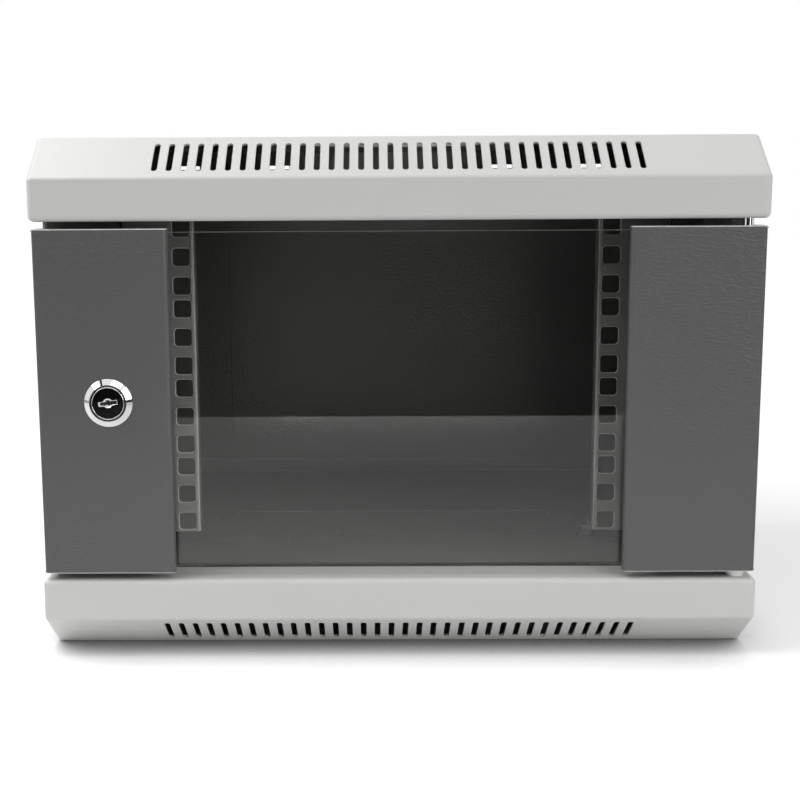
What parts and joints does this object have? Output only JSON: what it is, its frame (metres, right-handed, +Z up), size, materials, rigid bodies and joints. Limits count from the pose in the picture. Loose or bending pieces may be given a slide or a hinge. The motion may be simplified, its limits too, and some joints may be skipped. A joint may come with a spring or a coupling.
{
  "type": "wall mount network cabinet",
  "caption": "Small wall-mount network cabinet with chamfered vented covers, square-hole rack rails and a hinged, lockable glass door.",
  "frame": {"origin": "under the middle of the whole cabinet, at the height of its underside", "axes": "+X to the right as seen from the front, +Y to the back towards the wall, +Z up"},
  "size_m": [0.371, 0.2822, 0.269],
  "materials": {
    "cover_paint": "light grey fine-textured powder coat",
    "body_paint": "dark grey hammered powder coat",
    "door_paint": "graphite grey fine-textured powder coat",
    "rail_paint": "graphite grey powder coat",
    "glass": "clear toughened float glass",
    "tape": "black foam bonding tape",
    "chrome": "bright chrome plate",
    "plug_black": "gloss black lock face",
    "zinc": "bright zinc-plated steel",
    "bush_plastic": "natural nylon",
    "rubber": "soft black rubber"
  },
  "bodies": {
    "cabinet": {"bottom_cover": "cover_paint", "top_cover": "cover_paint", "floor_plate": "body_paint", "roof_plate": "body_paint", "side_panel_right": "body_paint", "side_panel_left": "body_paint", "back_plate": "body_paint", "rail_support_lower_right": "body_paint", "rail_support_lower_left": "body_paint", "rail_support_upper_right": "body_paint", "rail_support_upper_left": "body_paint", "rack_rail_right": "rail_paint", "rack_rail_left": "rail_paint", "rail_screws": "zinc", "rail_nuts": "zinc", "case_screws_lower": "zinc", "case_nuts_lower": "zinc", "case_screws_upper": "zinc", "case_nuts_upper": "zinc", "ground_stud": "zinc", "ground_washer": "zinc", "ground_nut": "zinc", "door_bumpers": "rubber", "hinge_bush": "bush_plastic"},
    "door": {"door_strip_left": "door_paint", "door_strip_right": "door_paint", "glass_pane": "glass", "glazing_tape_right": "tape", "glazing_tape_left": "tape", "lock_housing": "chrome", "lock_nut": "zinc", "hinge_guide": "door_paint", "hinge_pin_bottom": "chrome", "hinge_spring": "zinc"},
    "lock_core": {"lock_plug": "plug_black", "lock_cam": "zinc", "cam_screw": "zinc"},
    "hinge_bolt": {"hinge_pin_top": "chrome", "hinge_pin_clip": "zinc"}
  },
  "joints": [
    {"name": "door_hinge", "type": "hinge", "parent": "cabinet", "child": "door", "pos_m": [0.1757, -0.1314, 0.1345], "axis": [0, 0, 1], "range_deg": [0, 180]},
    {"name": "lock_turn", "type": "hinge", "parent": "door", "child": "lock_core", "pos_m": [-0.1478, -0.1389, 0.1355], "axis": [0, 1, 0], "range_deg": [0, 90]},
    {"name": "hinge_bolt_slide", "type": "slide", "parent": "door", "child": "hinge_bolt", "axis": [0, 0, -1], "range_m": [0, 0.006], "stiffness_N_per_m": 600, "springref_m": -0.004, "deforming": ["hinge_spring"]}
  ]
}
